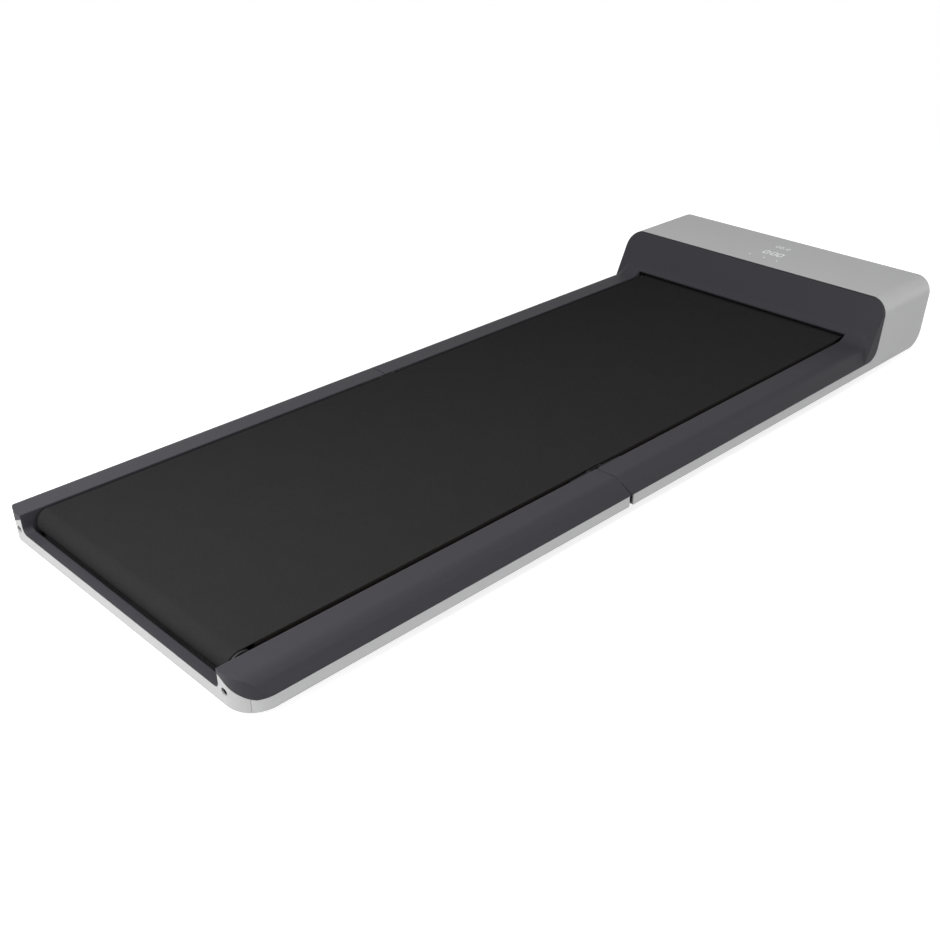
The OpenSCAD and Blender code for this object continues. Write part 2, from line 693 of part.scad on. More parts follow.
module power_inlet() color([0.08, 0.08, 0.08]) on_panel(inlet_y) {
    difference() {
        union() {
            box(0, 1.8, -inlet_w / 2 - 3, inlet_w / 2 + 3, -inlet_h / 2 - 2.5, inlet_h / 2 + 2.5);
            box(-20, 0.5, -inlet_w / 2 + 0.2, inlet_w / 2 - 0.2, -inlet_h / 2 + 0.2, inlet_h / 2 - 0.2);
        }
        rotate([90, 0, 90]) translate([0, 0, -15]) linear_extrude(20)
            polygon([[-11.5, -7.5], [11.5, -7.5], [11.5, 3], [8, 7.5], [-8, 7.5], [-11.5, 3]]);
    }
    for (p = [[-7, -1.5], [0, 2], [7, -1.5]]) box(-16, -1, p[0] - 1, p[0] + 1, p[1] - 2.5, p[1] + 2.5);
}

module switch_frame() color([0.08, 0.08, 0.08]) on_panel(switch_y) difference() {
    union() {
        box(0, 1.5, -switch_w / 2 - 1.5, switch_w / 2 + 1.5, -switch_h / 2 - 1.5, switch_h / 2 + 1.5);
        box(-15, 0.5, -switch_w / 2 + 0.2, switch_w / 2 - 0.2, -switch_h / 2 + 0.2, switch_h / 2 - 0.2);
    }
    box(-9, 3, -switch_w / 2 + 1.8, switch_w / 2 - 1.8, -switch_h / 2 + switch_wall, switch_h / 2 - switch_wall);
    rocker_pivot(rocker_pin_r + run, rocker_pin_h + 0.2);
}

// the rocker turns on a pin across the switch
module rocker_pivot(r, h) translate([-rocker_d, 0, -h]) cylinder(h = 2 * h, r = r);

// rocker resting on its off side
module power_switch() color([0.05, 0.05, 0.05]) on_panel(switch_y) {
    h = switch_h / 2 - switch_wall - 0.2;
    l = switch_w / 2 - 3;
    translate([-rocker_d, 0, 0]) rotate([0, 0, -rocker_a]) translate([0, 0, -h]) linear_extrude(2 * h)
        polygon([[-2.5, -4], [-2.5, 4], [2, l], [5.4, l], [3.6, 0], [5.4, -l], [2, -l]]);
    rocker_pivot(rocker_pin_r, rocker_pin_h);
}

module reset_body() color([0.08, 0.08, 0.08]) on_panel(reset_y) difference() {
    union() {
        rod_x(0, 0, reset_r + 2.5, 0, 2);
        rod_x(0, 0, reset_r - 0.1, -18, 0.5);
    }
    rod_x(0, 0, reset_r - 2.2, -8, 3);
}

module reset_button() color([0.75, 0.1, 0.08]) on_panel(reset_y) union() {
    rod_x(0, 0, reset_r - 2.4, -5, 4.5);
    rod_x(0, 0, reset_r - 2.9, 4, 5);
}

// ---- transport wheels under the head front ----
module wheel(s) difference() {
    y0 = s * wheel_y - wheel_t / 2;
    union() {
        rod_y(wheel_x, wheel_z, wheel_r - 1, y0, y0 + wheel_t);
        rod_y(wheel_x, wheel_z, wheel_r, y0 + 1, y0 + wheel_t - 1);
    }
    rod_y(wheel_x, wheel_z, wheel_pin_r + run, y0 - 1, y0 + wheel_t + 1);
    for (y = [y0 - 1, y0 + wheel_t - 2.5]) difference() {
        rod_y(wheel_x, wheel_z, wheel_r - 5, y, y + 3.5);
        rod_y(wheel_x, wheel_z, wheel_pin_r + 3, y - 1, y + 5);
    }
}

module transport_wheel_left() color([0.15, 0.15, 0.15]) wheel(1);
module transport_wheel_right() color([0.15, 0.15, 0.15]) wheel(-1);

module wheel_brackets() color([0.5, 0.5, 0.52]) both() difference() {
    low = plate_top + pad_t;
    union() for (y = [-wheel_y - wheel_t / 2 - 5.5, -wheel_y + wheel_t / 2 + 3]) {
        along_y(y, y + 2.5) union() {
            polygon([[wheel_x - 36, low], [head_tube_end, low], [wheel_x + 6.5, wheel_z - 2],
                [wheel_x, wheel_z + 7], [wheel_x - 36, low + 6]]);
            translate([wheel_x, wheel_z]) circle(7);
        }
    }
    rod_y(wheel_x, wheel_z, wheel_pin_r, -hw, 0);
}

module wheel_pins() color([0.75, 0.75, 0.77]) both()
    rod_y(wheel_x, wheel_z, wheel_pin_r, -wheel_y - wheel_t / 2 - 6.5, -wheel_y + wheel_t / 2 + 6.5);

// ---- fold hinge beside the belt ----
module hinge_bracket(px, dir) difference() {
    x1 = fold_x + dir * fold_beam;
    x2 = fold_x + dir * (fold_beam + beam_w);
    union() {
        along_y(-arm_out, -arm_out + arm_t) union() {
            translate([px, pin_z]) circle(eye_r);
            polygon([[px, pin_z + eye_r], [x2, pin_z + eye_r - 1], [x2, beam_top], [x1, beam_top], [px, pin_z - eye_r]]);
        }
        box(min(x1, x2), max(x1, x2), -tube_in + 4, -arm_out + arm_t, beam_top, tube_top);
    }
    rod_y(px, pin_z, pin_r, -hw, 0);
    for (dx = hinge_bolt_dx) translate([min(x1, x2) + dx, -hinge_bolt_y, beam_top - 1]) cylinder(h = 5, r = screw_r);
}

module hinge_pin(px) {
    rod_y(px, pin_z, pin_r, -arm_out, -link_out + link_t + 0.2);
    rod_y(px, pin_z, pin_r + 1.1, -link_out + link_t + 0.1, -link_out + link_t + 0.7);
}

module fold_link() difference() {
    along_y(-link_out, -link_out + link_t) union() {
        for (x = [pin_ax, pin_bx]) translate([x, pin_z]) circle(eye_r);
        translate([pin_bx, pin_z - eye_r + 1]) square([2 * link_r, 2 * eye_r - 2]);
    }
    for (x = [pin_ax, pin_bx]) rod_y(x, pin_z, pin_r + run, -hw, 0);
}

module hinge_bracket_front_right() color([0.08, 0.08, 0.09]) hinge_bracket(pin_ax, 1);
module hinge_bracket_front_left() color([0.08, 0.08, 0.09]) mirror([0, 1, 0]) hinge_bracket(pin_ax, 1);
module hinge_bracket_rear_right() color([0.08, 0.08, 0.09]) hinge_bracket(pin_bx, -1);
module hinge_bracket_rear_left() color([0.08, 0.08, 0.09]) mirror([0, 1, 0]) hinge_bracket(pin_bx, -1);
module hinge_pins_front() color([0.3, 0.3, 0.32]) both() hinge_pin(pin_ax);
module hinge_pins_rear() color([0.3, 0.3, 0.32]) both() hinge_pin(pin_bx);
module fold_link_right() color([0.08, 0.08, 0.09]) fold_link();
module fold_link_left() color([0.08, 0.08, 0.09]) mirror([0, 1, 0]) fold_link();

// ---- rear half, outside ----
module rear_silver() difference() {
    intersection() {
        difference() {
            rear_body(0);
            rear_body(wall);
        }
        along_x(xr - 1, fold_x + far) difference() {
            end_silver();
            rear_notch(sill_lip);
        }
        along_y(-hw - 1, hw + 1) rear_part();
    }
    both() rod_x(-tension_y, tension_z, tension_head_r, xr - 1, xr + sill_w);
}

// the floor inside the walls as far forward as x, g is how far it stays clear of them
module rear_floor(x, g) intersection() {
    linear_extrude(lip_cut) plan_outline(wall + g);
    box(cap_seam_x - 1, x, -lip_h + g, lip_h - g, 0, head_top);
}

module rear_end_cap() color([0.8, 0.8, 0.8]) intersection() {
    rear_silver();
    union() {
        box(xr - 1, cap_seam_x - 0.1, -hw - 1, hw + 1, 0, head_top);
        rear_floor(xr + sill_w, 0.3);
    }
}

module rear_strip_right() color([0.72, 0.72, 0.72]) difference() {
    intersection() {
        rear_silver();
        box(cap_seam_x + 0.1, fold_x + far, -hw - 1, 0, 0, head_top);
    }
    rear_floor(fold_x + far, 0);
}

module rear_strip_left() color([0.72, 0.72, 0.72]) mirror([0, 1, 0]) rear_strip_right();

module rear_cover() color([0.27, 0.27, 0.29]) difference() {
    union() {
        // foot rails and rounded rear corners
        difference() {
            intersection() {
                difference() {
                    rear_body(0);
                    rear_body(wall);
                }
                along_y(-hw - 1, hw + 1) rear_part();
            }
            along_x(xr - 1, fold_x + far) end_silver();
            box(xr - 1, fold_x + far, -open_h, open_h, 0, head_top);
        }
        // sill behind the belt, rim round the notch
        intersection() {
            rear_body(0);
            difference() {
                box(xr, xr + sill_w, -open_h - wall, open_h + wall, strip_top, rail_top);
                along_x(xr - 1, xr + far) rear_notch(0);
            }
        }
        box(xr + sill_w - wall, xr + sill_w, -open_h, open_h, base_z + wall, strip_top + sill_lip);
        // inner walls beside the belt, closed ends at the fold, ribs on the frame
        both() intersection() {
            rear_body(wall / 2);
            union() {
                along_y(-open_h - wall, -open_h) intersection() {
                    rear_part();
                    translate([xr + sill_w - 1, 0]) union() {
                        translate([0, tube_top]) square([fold_x - xr, far]);
                        translate([0, guide_z]) square([rear_roller_x - axle_room - xr - sill_w + 1, far]);
                    }
                }
                along_y(-hw, -open_h) difference() {
                    rear_part();
                    translate([-wall, 0]) rear_part();
                    translate([fold_x - far, 0]) square([3 * far, strip_top]);
                }
                for (x = rear_rib_x) box(x - rib_t, x, -hw + 1, -open_h, tube_top, rail_top);
            }
        }
    }
    rear_silver();
    // room for the roller axle as the belt is tightened
    box(rear_roller_x - axle_room, rear_roller_x + axle_room, -block_in, block_in, tube_top - 1,
        roller_z + axle_r + 1);
}

module rear_base_plate() color([0.12, 0.12, 0.13]) difference() {
    union() {
        intersection() {
            box(xr + sill_w + 0.5, fold_x + strip_gap_rear - 1, -plate_h, plate_h, base_z, plate_top);
            linear_extrude(head_top) plan_outline(wall + 0.5);
        }
        for (x = rear_press_x) pressed_rib(x - press_w);
    }
    base_outline_cuts(rear_screw_x);
    foot_cuts(rear_foot_x);
}

// ---- rear half, frame ----
module rear_frame() color([0.1, 0.1, 0.11]) difference() {
    union() {
        both() side_tube(tube_back, fold_x - 6);
        for (x = rear_beams) beam(x);
        both() for (x = rear_foot_x)
            box(x - foot_r, x + foot_r, -tube_in, -foot_y + foot_r, plate_top, plate_top + pad_t);
        // guides for the axle blocks, with a stop for the tension screws
        both() {
            box(xr + 12, tube_back + 1, -tube_in - 3, -tube_in, guide_z, tube_top);
            box(xr + 12, rear_roller_x + 26, -tube_in, -block_in, tension_z - 9.5, tension_z - 6.5);
            box(xr + 12, xr + 16, -tube_in, -block_in, guide_z, tension_z + 8);
        }
    }
    both() rod_x(-tension_y, tension_z, tension_r + 0.2, xr, xr + 30);
    base_outline_cuts(rear_screw_x);
    foot_cuts(rear_foot_x);
    deck_screw_cuts(rear_beams);
    hinge_bolt_cuts(rear_beams[0]);
}

module axle_block() difference() {
    box(rear_roller_x - 13, rear_roller_x + 13, -tube_in, -block_in, tension_z - 6.5, roller_z + 10);
    rod_y(rear_roller_x, roller_z, axle_r, -hw, 0);
    rod_x(-tension_y, tension_z, tension_r, xr, 0);
    box(rear_roller_x - 14, rear_roller_x - 8, -hw, 0, roller_z + 5, head_top);
    box(rear_roller_x + 8, rear_roller_x + 14, -hw, 0, roller_z + 5, head_top);
}

module axle_block_right() color([0.5, 0.5, 0.52]) axle_block();
module axle_block_left() color([0.5, 0.5, 0.52]) mirror([0, 1, 0]) axle_block();

module tension_screws() color([0.6, 0.6, 0.62]) both() difference() {
    union() {
        rod_x(-tension_y, tension_z, tension_r, xr + 12, rear_roller_x - 7);
        rod_x(-tension_y, tension_z, tension_head_r, xr + 6, xr + 12);
    }
    translate([xr + 5, -tension_y, tension_z]) rotate([0, 90, 0]) cylinder(h = 5, r = 2.9, $fn = 6);
}

module rear_bolts() color([0.6, 0.6, 0.62])
    for (dx = hinge_bolt_dx) both() translate([rear_beams[0] + dx, -hinge_bolt_y, 0]) hinge_bolt();

// ---- feet and base screws ----
module feet(xs) for (x = xs) both() translate([x, -foot_y, 0]) difference() {
    union() {
        cylinder(h = base_z - 3, r1 = foot_r - 1.5, r2 = foot_r);
        translate([0, 0, base_z - 3]) cylinder(h = 3, r = foot_r);
        cylinder(h = plate_top + pad_t, r = stud_r);
    }
    difference() {
        translate([0, 0, -1]) cylinder(h = 3, r = foot_r - 6);
        translate([0, 0, -2]) cylinder(h = 5, r = foot_r - 9);
    }
    translate([0, 0, -1]) cylinder(h = 4, r = foot_r - 12);
}

module base_screws(xs) for (x = xs) for (y = [-base_screw_y, base_screw_y]) translate([x, y, 0]) difference() {
    union() {
        translate([0, 0, base_z - head_t]) cylinder(h = head_t, r = head_r);
        translate([0, 0, base_z - 0.5]) cylinder(h = plate_t + tube_w + 0.5, r = screw_r);
    }
    translate([0, 0, base_z - head_t - 1]) cylinder(h = 2, r = 2, $fn = 6);
}

module front_feet() color([0.05, 0.05, 0.05]) feet(front_foot_x);
module rear_feet() color([0.05, 0.05, 0.05]) feet(rear_foot_x);
module front_base_screws() color([0.6, 0.6, 0.62]) base_screws(front_screw_x);
module rear_base_screws() color([0.6, 0.6, 0.62]) base_screws(rear_screw_x);

front_frame();
front_cover();
front_shell();
front_base_plate();
front_deck();
front_cushions();
front_deck_screws();
front_feet();
front_base_screws();
front_roller_axle();
walking_belt_front();
hinge_bracket_front_left();
hinge_bracket_front_right();
hinge_pins_front();
motor_body();
motor_mount();
motor_shaft();
motor_pulley();
motor_fan();
drive_belt();
control_board();
heat_sink();
display_board();
power_inlet();
switch_frame();
power_switch();
reset_body();
reset_button();
wheel_brackets();
wheel_pins();
transport_wheel_left();
transport_wheel_right();
front_roller();
front_roller_bearings();
roller_pulley();
fold_link_left();
fold_link_right();
rear_frame();
rear_cover();
rear_end_cap();
rear_strip_left();
rear_strip_right();
rear_base_plate();
rear_deck();
rear_cushions();
rear_deck_screws();
rear_feet();
rear_base_screws();
hinge_bracket_rear_left();
hinge_bracket_rear_right();
hinge_pins_rear();
walking_belt_rear();
rear_roller_axle();
rear_roller();
rear_roller_bearings();
axle_block_left();
axle_block_right();
tension_screws();
front_bolts();
rear_bolts();
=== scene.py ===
"""Looks of a folding under-desk treadmill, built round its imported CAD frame."""

import math

import bmesh
import bpy
from mathutils import Matrix, Vector


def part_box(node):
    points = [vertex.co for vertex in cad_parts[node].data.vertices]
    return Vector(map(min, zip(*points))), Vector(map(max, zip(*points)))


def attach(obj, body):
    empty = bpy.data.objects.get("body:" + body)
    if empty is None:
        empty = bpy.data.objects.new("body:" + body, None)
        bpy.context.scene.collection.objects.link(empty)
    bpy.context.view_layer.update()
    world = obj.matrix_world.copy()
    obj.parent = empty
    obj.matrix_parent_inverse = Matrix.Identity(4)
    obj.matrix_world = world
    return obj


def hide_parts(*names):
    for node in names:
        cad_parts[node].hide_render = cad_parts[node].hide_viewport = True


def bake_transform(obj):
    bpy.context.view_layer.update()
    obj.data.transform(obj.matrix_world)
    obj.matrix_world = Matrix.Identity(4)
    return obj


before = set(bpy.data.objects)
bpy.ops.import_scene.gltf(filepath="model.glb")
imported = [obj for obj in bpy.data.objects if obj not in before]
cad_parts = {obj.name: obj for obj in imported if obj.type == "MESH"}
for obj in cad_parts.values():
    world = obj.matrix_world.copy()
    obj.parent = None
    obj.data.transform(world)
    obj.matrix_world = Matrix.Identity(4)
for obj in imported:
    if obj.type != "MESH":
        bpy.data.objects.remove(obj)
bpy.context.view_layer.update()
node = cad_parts

# ---- Frame -------------------------------------------------------------------
# Two welded frames of steel box section, one in each half, powder coated black
# in one pass after welding. The coat has an orange peel and wears at the edges.


class Wire:
    """One socket of a material. Sums on wires add their Math nodes to its tree."""

    def __init__(self, tree, socket=None):
        self.tree = tree
        self.socket = socket

    def node(self, kind, settings=None, inputs=None, out=0):
        """Adds any other node: its settings, then the values or wires of its inputs."""
        made = self.tree.nodes.new(kind)
        for name, value in (settings or {}).items():
            setattr(made, name, value)
        for name, value in (inputs or {}).items():
            if isinstance(value, Wire):
                self.tree.links.new(value.socket, made.inputs[name])
            else:
                made.inputs[name].default_value = value
        return Wire(self.tree, made.outputs[out])

    def maths(self, operation, a, b=0.0):
        """Any other Math node on two values or wires."""
        return self.node("ShaderNodeMath", {"operation": operation}, {0: a, 1: b})

    def output(self, name):
        """Another output of the node that this wire comes from."""
        return Wire(self.tree, self.socket.node.outputs[name])

    def __add__(self, other):
        return self.maths("ADD", self, other)

    __radd__ = __add__

    def __sub__(self, other):
        return self.maths("SUBTRACT", self, other)

    def __rsub__(self, other):
        return self.maths("SUBTRACT", other, self)

    def __mul__(self, other):
        return self.maths("MULTIPLY", self, other)

    __rmul__ = __mul__

    def clamp(self, low, high):
        """0 at low, 1 at high, straight between them."""
        return self.node(
            "ShaderNodeMapRange", inputs={"Value": self, "From Min": low, "From Max": high}
        )

    def mix(self, first, second):
        """A colour that is first where this wire is 0 and second where it is 1."""
        return self.node(
            "ShaderNodeMix", {"data_type": "RGBA"}, {0: self, 6: first, 7: second}, out=2
        )

    def to(self, shader, name):
        """Feeds an input of the shader."""
        self.tree.links.new(self.socket, shader.inputs[name])


def new_finish(name, **fixed):
    """A material, its shader and a wire to start from. Fixed values go on the shader."""
    finish = bpy.data.materials.new(name)
    finish.use_nodes = True
    shader = finish.node_tree.nodes["Principled BSDF"]
    for socket, value in fixed.items():
        shader.inputs[socket.replace("_", " ")].default_value = value
    return finish, shader, Wire(finish.node_tree)


def place(start):
    """Where a point is on the piece, in metres."""
    return start.node("ShaderNodeTexCoord", out="Object")


def grain(start, where, size, detail=2.0, stretch=None):
    """Soft noise about size metres across, from 0 to 1."""
    if stretch:
        where = start.node("ShaderNodeMapping", inputs={"Vector": where, "Scale": stretch})
    return start.node(
        "ShaderNodeTexNoise",
        inputs={"Vector": where, "Scale": 1 / size, "Detail": detail},
    )


def worn_edge(start, radius):
    """1 along outer and inner edges, 0 on open faces."""
    rounded = start.node("ShaderNodeBevel", {"samples": 4}, {"Radius": radius})
    flat = start.node("ShaderNodeNewGeometry", out="Normal")
    same = start.node(
        "ShaderNodeVectorMath", {"operation": "DOT_PRODUCT"}, {0: rounded, 1: flat}, out="Value"
    )
    return (1 - same).clamp(0.002, 0.2)


def relief(shader, height, depth, edge):
    """Bump of that depth in metres over edges rounded by edge."""
    rounded = height.node("ShaderNodeBevel", {"samples": 4}, {"Radius": edge})
    height.node(
        "ShaderNodeBump",
        inputs={"Strength": 1.0, "Distance": depth, "Height": height, "Normal": rounded},
    ).to(shader, "Normal")


def paint(names, finish):
    """Gives CAD nodes their finish."""
    for name in names:
        node[name].data.materials.clear()
        node[name].data.materials.append(finish)


def powder_coat(name, colour, worn, shine=0.3):
    """Baked powder paint with a fine orange peel, thinner and worn along the edges."""
    finish, shader, start = new_finish(name, Specular_IOR_Level=shine)
    at = place(start)
    peel = grain(start, at, 0.0011, 3.0)
    cloud = grain(start, at, 0.06)
    edge = worn_edge(start, 0.0012) * grain(start, at, 0.01).clamp(0.35, 0.7)
    edge.mix((cloud * 0.3).mix(colour, worn), worn).to(shader, "Base Color")
    (0.52 + 0.12 * cloud - 0.1 * edge).to(shader, "Roughness")
    relief(shader, peel, 0.00012, 0.0006)
    return finish


frame_coat = powder_coat(
    "black powder coat", (0.0105, 0.0105, 0.0115, 1), (0.045, 0.045, 0.048, 1)
)
paint(["front_frame", "rear_frame"], frame_coat)

# ---- Decks -------------------------------------------------------------------
# One fibre board for each half, with a dark waxed film pressed on both faces.
# It lies on rubber cushions, and countersunk socket screws hold it to the beams.

finish, shader, start = new_finish("filmed fibre board", Specular_IOR_Level=0.3)
at = place(start)
fibre = grain(start, at, 0.0008, 4.0, stretch=(1, 1, 4))
fleck = grain(start, at, 0.004, 3.0)
facing = start.node(
    "ShaderNodeSeparateXYZ", inputs={0: start.node("ShaderNodeTexCoord", out="Normal")}, out="Z"
)
film = start.maths("ABSOLUTE", facing).clamp(0.7, 0.95)
# The bare board on the edges is coloured near black: painted shade for the deep gap beside the
# belt.
board = fibre.mix((0.006, 0.005, 0.004, 1), (0.016, 0.013, 0.010, 1))
film.mix(board, fleck.mix((0.008, 0.007, 0.006, 1), (0.015, 0.014, 0.013, 1))).to(
    shader, "Base Color"
)
(0.85 - 0.45 * film + 0.1 * fleck).to(shader, "Roughness")
relief(shader, fibre, 0.00015, 0.0004)
paint(["front_deck", "rear_deck"], finish)


def rubber(name, colour, dusty, size):
    """Moulded rubber with a fine skin and dust in its low places."""
    finish, shader, start = new_finish(name, Specular_IOR_Level=0.35)
    at = place(start)
    skin = grain(start, at, size, 3.0)
    dust = grain(start, at, 0.012, 3.0).clamp(0.4, 0.75)
    dust.mix(colour, dusty).to(shader, "Base Color")
    (0.66 + 0.18 * dust).to(shader, "Roughness")
    relief(shader, skin, 0.0001, 0.0005)
    return finish


black_rubber = rubber(
    "black rubber", (0.011, 0.011, 0.011, 1), (0.026, 0.025, 0.024, 1), 0.0007
)
paint(["front_cushions", "rear_cushions"], black_rubber)


def bright_metal(name, colour, stained, rough, stretch=(1, 1, 1), mark=0.0004):
    """Bare or plated metal. Its tool marks run across the axis that stretch keeps."""
    finish, shader, start = new_finish(name, Metallic=1.0)
    at = place(start)
    marks = grain(start, at, mark, 3.0, stretch)
    stain = grain(start, at, 0.009, 4.0)
    stain.clamp(0.35, 0.8).mix(colour, stained).to(shader, "Base Color")
    (rough + 0.14 * stain + 0.12 * (marks - 0.5)).to(shader, "Roughness")
    relief(shader, marks, 0.00004, 0.0003)
    return finish


zinc_screw = bright_metal(
    "zinc plated screw", (0.55, 0.56, 0.58, 1), (0.42, 0.42, 0.40, 1), 0.26
)
paint(
    [
        "front_deck_screws",
        "rear_deck_screws",
        "front_base_screws",
        "rear_base_screws",
        "front_bolts",
        "rear_bolts",
    ],
    zinc_screw,
)

# ---- Rollers -----------------------------------------------------------------
# Black coated steel tubes on black oxide bearings, which run on fixed steel axles.
# The front axle sits in the frame, the rear one in two cast blocks that screws pull.

roller_coat = powder_coat(
    "black roller coat", (0.009, 0.009, 0.0095, 1), (0.02, 0.02, 0.021, 1)
)
paint(["front_roller", "rear_roller"], roller_coat)
oxide = powder_coat(
    "black oxide steel", (0.004, 0.004, 0.0045, 1), (0.010, 0.010, 0.011, 1), shine=0.1
)
paint(["front_roller_bearings", "rear_roller_bearings", "tension_screws"], oxide)
along_axle = (0, 1, 0)
ground_steel = bright_metal(
    "ground steel", (0.66, 0.66, 0.68, 1), (0.55, 0.54, 0.52, 1), 0.16, along_axle, 0.0003
)
paint(["front_roller_axle", "rear_roller_axle", "motor_shaft", "wheel_pins"], ground_steel)
cast_alloy = bright_metal(
    "cast alloy", (0.36, 0.36, 0.37, 1), (0.28, 0.28, 0.29, 1), 0.42, mark=0.0012
)
paint(["axle_block_left", "axle_block_right"], cast_alloy)

# ---- Walking belt ------------------------------------------------------------
# One closed belt round both rollers, black with a fine embossed face and a woven
# underside. Each half is a piece that meets the other at the fold.

belt_thick = 0.0016
belt_station = 0.0015  # one row of faces every this far along the belt
pebble_size = 0.0014
weave_pitch = 0.006
low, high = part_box("walking_belt_front")
rear_low, rear_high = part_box("walking_belt_rear")
fold_x = (low.x + rear_high.x) / 2
belt_radius = (high.z - low.z - belt_thick) / 2
belt_z = (high.z + low.z) / 2
link_reach = 0.024  # this far each side of the fold; nothing here uses it to bend the belt

finish, shader, start = new_finish("belt face", Specular_IOR_Level=0.0)
along = start.node("ShaderNodeUVMap", {"uv_map": "UVMap"})
pebble = start.node(
    "ShaderNodeTexVoronoi",
    {"feature": "SMOOTH_F1"},
    {"Vector": along, "Scale": 1 / pebble_size, "Smoothness": 0.6},
)
tread = grain(start, along, 0.05, 3.0)
face_shade = 0.15 * tread + 0.35 * pebble
face_shade.mix((0.0155, 0.0155, 0.0158, 1), (0.0290, 0.0290, 0.0294, 1)).to(shader, "Base Color")
(0.62 + 0.12 * tread).to(shader, "Roughness")
start.node(
    "ShaderNodeBump", inputs={"Strength": 1.0, "Distance": 0.00025, "Height": 1 - pebble}
).to(shader, "Normal")
belt_face = finish

finish, shader, start = new_finish("belt weave", Specular_IOR_Level=0.2)
across = start.node("ShaderNodeUVMap", {"uv_map": "UVMap"})
warp = start.node(
    "ShaderNodeTexWave", {"bands_direction": "X"}, {"Vector": across, "Scale": 1 / weave_pitch}
)
weft = start.node(
    "ShaderNodeTexWave", {"bands_direction": "Y"}, {"Vector": across, "Scale": 1 / weave_pitch}
)
weave = warp * weft
weave.mix((0.045, 0.044, 0.042, 1), (0.14, 0.135, 0.13, 1)).to(shader, "Base Color")
(0.9 - 0.1 * weave).to(shader, "Roughness")
start.node(
    "ShaderNodeBump", inputs={"Strength": 1.0, "Distance": 0.0003, "Height": weave}
).to(shader, "Normal")
belt_weave = finish


def new_tree(name, sizes):
    """An empty Geometry Nodes tree with one number input for each size."""
    tree = bpy.data.node_groups.new(name, "GeometryNodeTree")
    tree.interface.new_socket("Geometry", in_out="INPUT", socket_type="NodeSocketGeometry")
    tree.interface.new_socket("Geometry", in_out="OUTPUT", socket_type="NodeSocketGeometry")
    for size, value in sizes.items():
        kind = "NodeSocketInt" if isinstance(value, int) else "NodeSocketFloat"
        socket = tree.interface.new_socket(size, in_out="INPUT", socket_type=kind)
        socket.default_value = value
    given = tree.nodes.new("NodeGroupInput")
    inputs = {socket.name: Wire(tree, socket) for socket in given.outputs if socket.name}
    return tree, Wire(tree), inputs


def end_tree(tree, geometry, *coats):
    """Ends it in Realize Instances and Set Material, for each finish with its faces."""
    geometry = geometry.node("GeometryNodeRealizeInstances", inputs={"Geometry": geometry})
    for finish, faces in coats:
        geometry = geometry.node(
            "GeometryNodeSetMaterial",
            inputs={"Geometry": geometry, "Selection": faces, "Material": finish},
        )
    tree.links.new(geometry.socket, tree.nodes.new("NodeGroupOutput").inputs["Geometry"])


def grow(name, tree, sizes):
    """Runs a tree with these sizes and gives its result as a plain mesh object."""
    seed = bpy.data.objects.new(name + "_seed", bpy.data.meshes.new(name))
    bpy.context.scene.collection.objects.link(seed)
    modifier = seed.modifiers.new("build", "NODES")
    modifier.node_group = tree
    for socket in tree.interface.items_tree:
        if socket.in_out == "INPUT" and socket.name in sizes:
            modifier[socket.identifier] = sizes[socket.name]
    graph = bpy.context.evaluated_depsgraph_get()
    mesh = bpy.data.meshes.new_from_object(
        seed.evaluated_get(graph), preserve_all_data_layers=True, depsgraph=graph
    )
    bpy.data.objects.remove(seed)
    piece = bpy.data.objects.new(name, mesh)
    bpy.context.scene.collection.objects.link(piece)
    return piece


tree, start, size = new_tree(
    "walking belt half",
    {
        "Run": 0.5,
        "Radius": belt_radius,
        "Fold X": fold_x,
        "Middle Z": belt_z,
        "Towards": 1.0,
        "Width": high.y - low.y,
        "Thickness": belt_thick,
        "Stations": 800,
    },
)
line = start.node("GeometryNodeCurvePrimitiveLine")
line = start.node(
    "GeometryNodeResampleCurve", inputs={"Curve": line, "Count": size["Stations"]}
)
wrap = math.pi * size["Radius"]
length = 2 * size["Run"] + wrap
step = start.node("GeometryNodeInputIndex") * start.maths("DIVIDE", length, size["Stations"] - 1)
upper = start.maths("MINIMUM", step, size["Run"])
past = step - size["Run"]
arc = start.maths("MINIMUM", start.maths("MAXIMUM", past, 0.0), wrap)
lower = start.maths("MAXIMUM", past - wrap, 0.0)
turn = start.maths("DIVIDE", arc, size["Radius"])
reach = upper + size["Radius"] * start.maths("SINE", turn) - lower
line = start.node(
    "GeometryNodeSetPosition",
    inputs={
        "Geometry": line,
        "Position": start.node(
            "ShaderNodeCombineXYZ",
            inputs={
                "X": size["Fold X"] + size["Towards"] * reach,
                "Z": size["Middle Z"] + size["Radius"] * start.maths("COSINE", turn),
            },
        ),
    },
)
line = start.node("GeometryNodeCaptureAttribute", inputs={"Geometry": line})
line.socket.node.capture_items.new("FLOAT", "Along")
tree.links.new(step.socket, line.socket.node.inputs["Along"])
section = start.node(
    "GeometryNodeCurvePrimitiveQuadrilateral",
    inputs={"Width": size["Width"], "Height": size["Thickness"]},
)
section = start.node(
    "GeometryNodeFilletCurve",
    {"mode": "POLY"},
    {"Curve": section, "Radius": 0.45 * size["Thickness"], "Count": 3},
)
spot = start.node(
    "ShaderNodeSeparateXYZ", inputs={0: start.node("GeometryNodeInputPosition")}, out="X"
)
depth = spot.output("Y")
section = start.node("GeometryNodeCaptureAttribute", inputs={"Geometry": section})
section.socket.node.capture_items.new("FLOAT", "Across")
section.socket.node.capture_items.new("FLOAT", "Inside")
tree.links.new(spot.socket, section.socket.node.inputs["Across"])
tree.links.new(depth.socket, section.socket.node.inputs["Inside"])
band = start.node(
    "GeometryNodeCurveToMesh",
    inputs={"Curve": line, "Profile Curve": section, "Fill Caps": True},
)
band = start.node(
    "GeometryNodeStoreNamedAttribute",
    {"data_type": "FLOAT2", "domain": "CORNER"},
    {
        "Geometry": band,
        "Name": "UVMap",
        "Value": start.node(
            "ShaderNodeCombineXYZ",
            inputs={"X": section.output("Across"), "Y": line.output("Along")},
        ),
    },
)
underside = start.maths("GREATER_THAN", section.output("Inside"), 0.49 * size["Thickness"])
